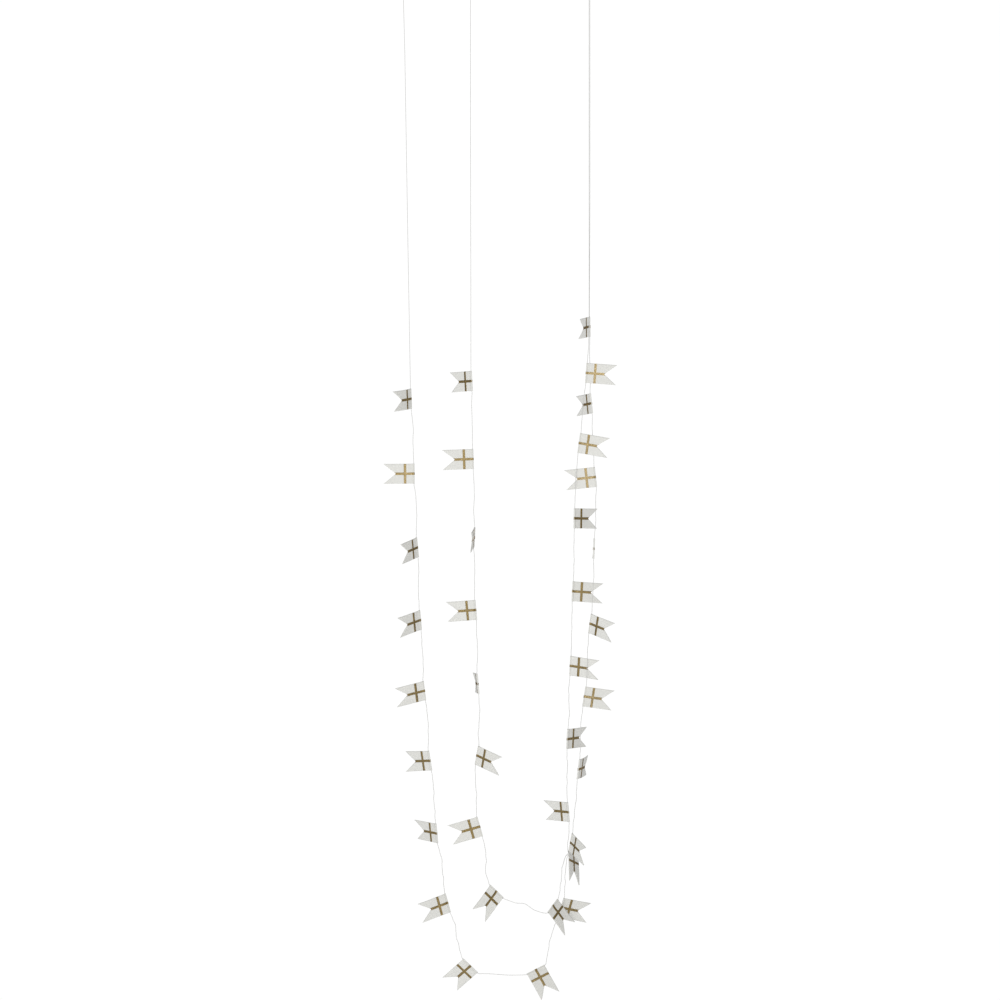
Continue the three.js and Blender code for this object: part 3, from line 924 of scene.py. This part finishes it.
def section_of(leaf_x, settings):
    """Half of a folded strip's section, from the fold's crest along one leaf, in a flag's own x and y."""
    fold_steps, ease_steps = 9, 4
    leaves_fold_at = math.radians(60)
    squareness = 3
    half_glue = 0.00008
    radius = settings.fold_radius - settings.thickness / 2
    half_apart = settings.thickness / 2 + half_glue
    rows = []
    for angle in np.linspace(math.pi, leaves_fold_at, fold_steps + 1):
        x, y = math.cos(angle), math.sin(angle)
        out = radius / (abs(x) ** squareness + abs(y) ** squareness) ** (1 / squareness)
        rows.append((out * x, out * y))
    start_x, start_y = rows[-1]
    slope = -((start_x / start_y) ** (squareness - 1)) * (FLAT_FROM - start_x)
    for share in np.linspace(0, 1, ease_steps + 1)[1:]:
        rise = (2 * share**3 - 3 * share**2 + 1) * start_y + (3 * share**2 - 2 * share**3) * half_apart
        rise += (share**3 - 2 * share**2 + share) * slope
        rows.append((start_x + share * (FLAT_FROM - start_x), rise))
    rows += [(x, half_apart) for x in leaf_x if x > FLAT_FROM]
    return np.array(rows)


def folded_strip(name, flag, phase, heights, leaf_x, kept, settings):
    """A strip of cloth folded over the cord, with a map of its flat cut in metres.

    leaf_x gives the stations along a leaf at a height, and kept says which cells of a leaf are there, by
    station and height.
    """
    fly_waves, hoist_waves, tail_gap = 9, 60, 0.00012
    spots, flat = [], []
    for height in heights:
        half = section_of(leaf_x(height), settings)
        run = distances(half)
        both = np.concatenate([half[::-1], half[1:] * (1, -1)])
        along = np.concatenate([run[::-1], -run[1:]])
        reach = np.clip(both[:, 0], 0, None) / settings.fly
        curl = np.interp(height / settings.hoist, (-0.5, 0.5), (flag.bottom_curl, flag.top_curl))
        bend = curl * reach**2
        wave = settings.ripple * reach * np.sin(fly_waves * reach + hoist_waves * height + phase)
        parted = tail_gap * reach**4 * np.sign(both[:, 1])
        upright = np.full(len(both), height)
        spots.append(np.stack([both[:, 0], both[:, 1] + bend + wave + parted, upright], axis=1))
        flat.append(np.stack([along, upright], axis=1))
    spots = np.array(spots)
    flat = np.array(flat)
    rows, stations = spots.shape[:2]
    spots = spots.reshape(-1, 3) @ np.array(turned(flag)).T + np.array(flag[:3])

    half_cells = (stations - 1) // 2
    faces = []
    for row in range(rows - 1):
        for station in range(stations - 1):
            from_crest = station - half_cells if station >= half_cells else half_cells - 1 - station
            if kept(from_crest, row):
                near = row * stations + station
                far = near + stations
                faces.append((near, near + 1, far + 1, far))
    used = sorted({corner for face in faces for corner in face})
    number = {corner: k for k, corner in enumerate(used)}
    mesh = bpy.data.meshes.new(name)
    mesh.from_pydata(spots[used].tolist(), [], [[number[corner] for corner in face] for face in faces])
    cloth_map = mesh.uv_layers.new(name="cloth")
    flat = flat.reshape(-1, 2)[used]
    corners = np.zeros(len(mesh.loops), np.int32)
    mesh.loops.foreach_get("vertex_index", corners)
    cloth_map.uv.foreach_set("vector", flat[corners].astype(np.float32).ravel())
    mesh.polygons.foreach_set("use_smooth", [True] * len(mesh.polygons))
    return mesh


def leaf_reach(height, settings):
    """How far a leaf reaches from the cord at a height: least at the notch, most at the tips."""
    share = abs(height) / (settings.hoist / 2)
    return settings.notch + (settings.fly - settings.notch) * share - settings.fold_radius


def flag_cloth(name, flag, phase, settings):
    """The whole folded flag."""
    rows, leaf_steps = 18, 18

    def leaf_x(height):
        return np.linspace(FLAT_FROM, leaf_reach(height, settings), leaf_steps + 1)[1:]

    heights = np.linspace(-settings.hoist / 2, settings.hoist / 2, rows + 1)
    return folded_strip(name, flag, phase, heights, leaf_x, lambda station, row: True, settings)


def cross_patch(name, flag, phase, settings, cross):
    """The two bars of a cross on both leaves, worn off along the crest of the fold."""
    half = cross.bar / 2
    middle = cross.from_fold - settings.fold_radius
    inner_steps, bar_steps, outer_steps, hoist_steps = 8, 3, 10, 9
    cut_back = 0.0002
    worn_cells = 2

    def leaf_x(height):
        near = np.linspace(FLAT_FROM, middle - half, inner_steps + 1)[1:]
        across = np.linspace(middle - half, middle + half, bar_steps + 1)[1:]
        end = leaf_reach(min(abs(height), half), settings) - cut_back
        beyond = np.linspace(middle + half, end, outer_steps + 1)[1:]
        return np.concatenate([near, across, beyond])

    top = settings.hoist / 2 - cut_back
    lower = np.linspace(-top, -half, hoist_steps + 1)
    heights = np.concatenate([lower, np.linspace(-half, half, bar_steps + 1)[1:-1], -lower[::-1]])
    stations = len(section_of(leaf_x(0), settings)) - 1
    bar_first = stations - outer_steps - bar_steps

    def kept(station, row):
        along_fly = hoist_steps <= row < hoist_steps + bar_steps and station >= worn_cells
        return along_fly or bar_first <= station < bar_first + bar_steps

    return folded_strip(name, flag, phase, heights, leaf_x, kept, settings)


def numbered(swag):
    """Each flag of a swag with its number as text and a phase of its own for its ripple."""
    golden_angle = 2.399963
    first = {"outer": 0, "inner": 40}[swag]
    return [
        (f"{swag}_{k + 1:02}", flag, (first + k) * golden_angle) for k, flag in enumerate(flags_of(swag))
    ]


# Operators

class GARLAND_OT_stage(bpy.types.Operator):
    """Make the camera, the soft lights and the pale floor"""

    bl_idname = "garland.make_stage"
    bl_label = "Make stage"

    def execute(self, context):
        scene = context.scene
        stage = scene.garland.stage
        middle = Vector(stage.middle)
        lens = bpy.data.cameras.new("camera")
        lens.sensor_width = 36
        lens.lens = lens.sensor_width * stage.distance / stage.picture
        lens.clip_end = 100
        camera = new_piece("camera", lens)
        camera.location = middle - Vector((0, stage.distance, 0))
        camera.rotation_euler = (math.radians(90), 0, 0)
        scene.camera = camera
        scene.view_settings.view_transform = "Standard"

        for name in ("key", "accent", "fill"):
            self.softbox(name, stage)
        self.white_surround(scene, stage)
        self.pale_floor(stage)
        return {"FINISHED"}

    def softbox(self, name, stage):
        """A soft light that faces the middle of the view, from the settings of its name."""
        light = bpy.data.lights.new(name, "AREA")
        light.shape = "RECTANGLE"
        light.size, light.size_y = getattr(stage, name + "_size")
        light.energy = getattr(stage, name + "_watts")
        light.color = getattr(stage, name + "_colour")
        box = new_piece(name, light)
        box.location = getattr(stage, name + "_place")
        box.rotation_euler = (Vector(stage.middle) - box.location).to_track_quat("-Z", "Y").to_euler()
        box.visible_camera = False

    def white_surround(self, scene, stage):
        """White behind the garland, with dimmer light from all round that is brighter from below."""
        world = bpy.data.worlds.new("surround")
        world.use_nodes = True
        scene.world = world
        tree = world.node_tree
        tree.nodes.clear()
        first_below, full_below, plain_white = 0.05, 0.35, 1.02
        travel = place(tree, "ShaderNodeNewGeometry").outputs["Incoming"]
        rise = place(tree, "ShaderNodeSeparateXYZ", {0: travel}).outputs[2]
        strength = mapped(tree, rise, (first_below, full_below), (1, stage.below), "SMOOTHSTEP")
        ambient = place(tree, "ShaderNodeBackground", {"Color": opaque(stage.ambient), "Strength": strength})
        white = place(tree, "ShaderNodeBackground", {"Color": (1, 1, 1, 1), "Strength": plain_white})
        seen = place(tree, "ShaderNodeLightPath").outputs["Is Camera Ray"]
        mixed = place(tree, "ShaderNodeMixShader", {0: seen, 1: ambient.outputs[0], 2: white.outputs[0]})
        place(tree, "ShaderNodeOutputWorld", {0: mixed.outputs[0]})

    def pale_floor(self, stage):
        """A pale disc that fades into the white at its rim, and glows as painted light from below."""
        segments, fade_from, fade_to = 96, 0.9, stage.floor_radius * 0.97
        rim = [
            (stage.floor_radius * math.cos(angle), stage.floor_radius * math.sin(angle), stage.floor_level)
            for angle in np.linspace(0, math.tau, segments, endpoint=False)
        ]
        mesh = bpy.data.meshes.new("floor")
        mesh.from_pydata(rim, [], [list(range(segments))])
        floor = new_piece("floor", mesh)
        material, tree, shader = new_material("pale_floor")
        where = place(tree, "ShaderNodeTexCoord").outputs["Object"]
        flat = place(tree, "ShaderNodeVectorMath", {0: where, 1: (1, 1, 0)}, operation="MULTIPLY").outputs[0]
        out = place(tree, "ShaderNodeVectorMath", {0: flat}, operation="LENGTH").outputs["Value"]
        shown = mapped(tree, out, (fade_from, fade_to), (1, 0), "SMOOTHSTEP")
        tree.links.new(shown, shader.inputs["Alpha"])
        shader.inputs["Base Color"].default_value = (0.93, 0.93, 0.92, 1)
        shader.inputs["Roughness"].default_value = 0.8
        # Painted light: the floor glows, standing in for light bounced up from below
        shader.inputs["Emission Color"].default_value = (1, 1, 1, 1)
        shader.inputs["Emission Strength"].default_value = stage.floor_glow
        mesh.materials.append(material)


class GARLAND_OT_cords(bpy.types.Operator):
    """Make the twisted cord of each swag along its route"""

    bl_idname = "garland.make_cords"
    bl_label = "Make cords"

    def execute(self, context):
        garland = context.scene.garland
        for swag in SWAGS:
            string = twisted("string_" + swag, [cord_line(swag, garland)], garland.cord)
            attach(string, BODY)
            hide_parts("cord_" + swag)
        return {"FINISHED"}


class GARLAND_OT_eyes(bpy.types.Operator):
    bl_idname = "garland.make_eyes"
    bl_label = "Make hanging eyes"

    def execute(self, context):
        garland = context.scene.garland
        eyes = {}
        for side in ("left", "middle", "right"):
            eyes[side] = twisted("eye_" + side, eye_lines(side, garland.eye, garland.cord), garland.cord)
            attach(eyes[side], BODY)
            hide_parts("hanging_loop_" + side)
        for swag, held in (("outer", ("left", "right")), ("inner", ("middle",))):
            route = cord_line(swag, garland)
        return {"FINISHED"}


class GARLAND_OT_flags(bpy.types.Operator):
    """Make the folded cloth flags"""

    bl_idname = "garland.make_flags"
    bl_label = "Make flags"

    def execute(self, context):
        settings = context.scene.garland.flag
        material = cloth_material(settings)
        for swag in SWAGS:
            for name, flag, phase in numbered(swag):
                mesh = flag_cloth("cloth_" + name, flag, phase, settings)
                mesh.materials.append(material)
                cloth = new_piece("cloth_" + name, mesh)
                leaf = cloth.modifiers.new("leaf", "SOLIDIFY")
                leaf.thickness = settings.thickness
                leaf.offset = 0
                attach(cloth, BODY)
                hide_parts("flag_" + name)
        return {"FINISHED"}


class GARLAND_OT_crosses(bpy.types.Operator):
    """Make the gold crosses"""

    bl_idname = "garland.make_crosses"
    bl_label = "Make crosses"

    def execute(self, context):
        garland = context.scene.garland
        settings, cross = garland.flag, garland.cross
        tree = glitter_band_tree()
        clear_of_cloth = 0.00001
        values = {
            "Lift": settings.thickness / 2 + clear_of_cloth,
            "Thickness": cross.thickness,
            "Flake": cross.flake,
            "Flake Gap": cross.flake_gap,
            "Tilt": cross.tilt,
            "Gold": gold_material(cross),
        }
        half_run = distances(section_of([settings.fly - settings.fold_radius], settings))[-1]
        for swag in SWAGS:
            for seed, (name, flag, phase) in enumerate(numbered(swag)):
                patch = cross_patch("cross_" + name, flag, phase, settings, cross)
                gold = grown(new_piece("cross_" + name, patch), tree, {**values, "Seed": seed})
                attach(gold, BODY)
        return {"FINISHED"}


class GARLAND_PT_panel(bpy.types.Panel):
    """The garland's pieces and sizes"""

    bl_idname = "GARLAND_PT_panel"
    bl_label = "Pennant garland"
    bl_space_type = "VIEW_3D"
    bl_region_type = "UI"
    bl_category = "Garland"

    def draw(self, context):
        garland = context.scene.garland
        for operator in OPERATORS:
            self.layout.operator(operator.bl_idname)
        for group in (garland.cord, garland.eye, garland.flag, garland.cross, garland.stage):
            box = self.layout.box()
            for name in group.bl_rna.properties.keys():
                if name not in ("rna_type", "name"):
                    box.prop(group, name)


SETTINGS = (CordSettings, EyeSettings, FlagSettings, CrossSettings, StageSettings, GarlandSettings)
OPERATORS = (GARLAND_OT_stage, GARLAND_OT_cords, GARLAND_OT_eyes, GARLAND_OT_flags, GARLAND_OT_crosses)
CLASSES = (*SETTINGS, *OPERATORS, GARLAND_PT_panel)


def register():
    """Registers the classes and hangs the settings on the scene."""
    for item in CLASSES:
        bpy.utils.register_class(item)
    bpy.types.Scene.garland = bpy.props.PointerProperty(
        name="Garland", description="Settings of the pennant garland", type=GarlandSettings)


def unregister():
    """Takes the settings and the classes away again."""
    del bpy.types.Scene.garland
    for item in reversed(CLASSES):
        bpy.utils.unregister_class(item)


def main():
    """Builds the garland on its stage."""
    register()
    bpy.ops.garland.make_stage()
    bpy.ops.garland.make_cords()
    bpy.ops.garland.make_eyes()
    bpy.ops.garland.make_flags()
    bpy.ops.garland.make_crosses()


if __name__ == "__main__":
    main()
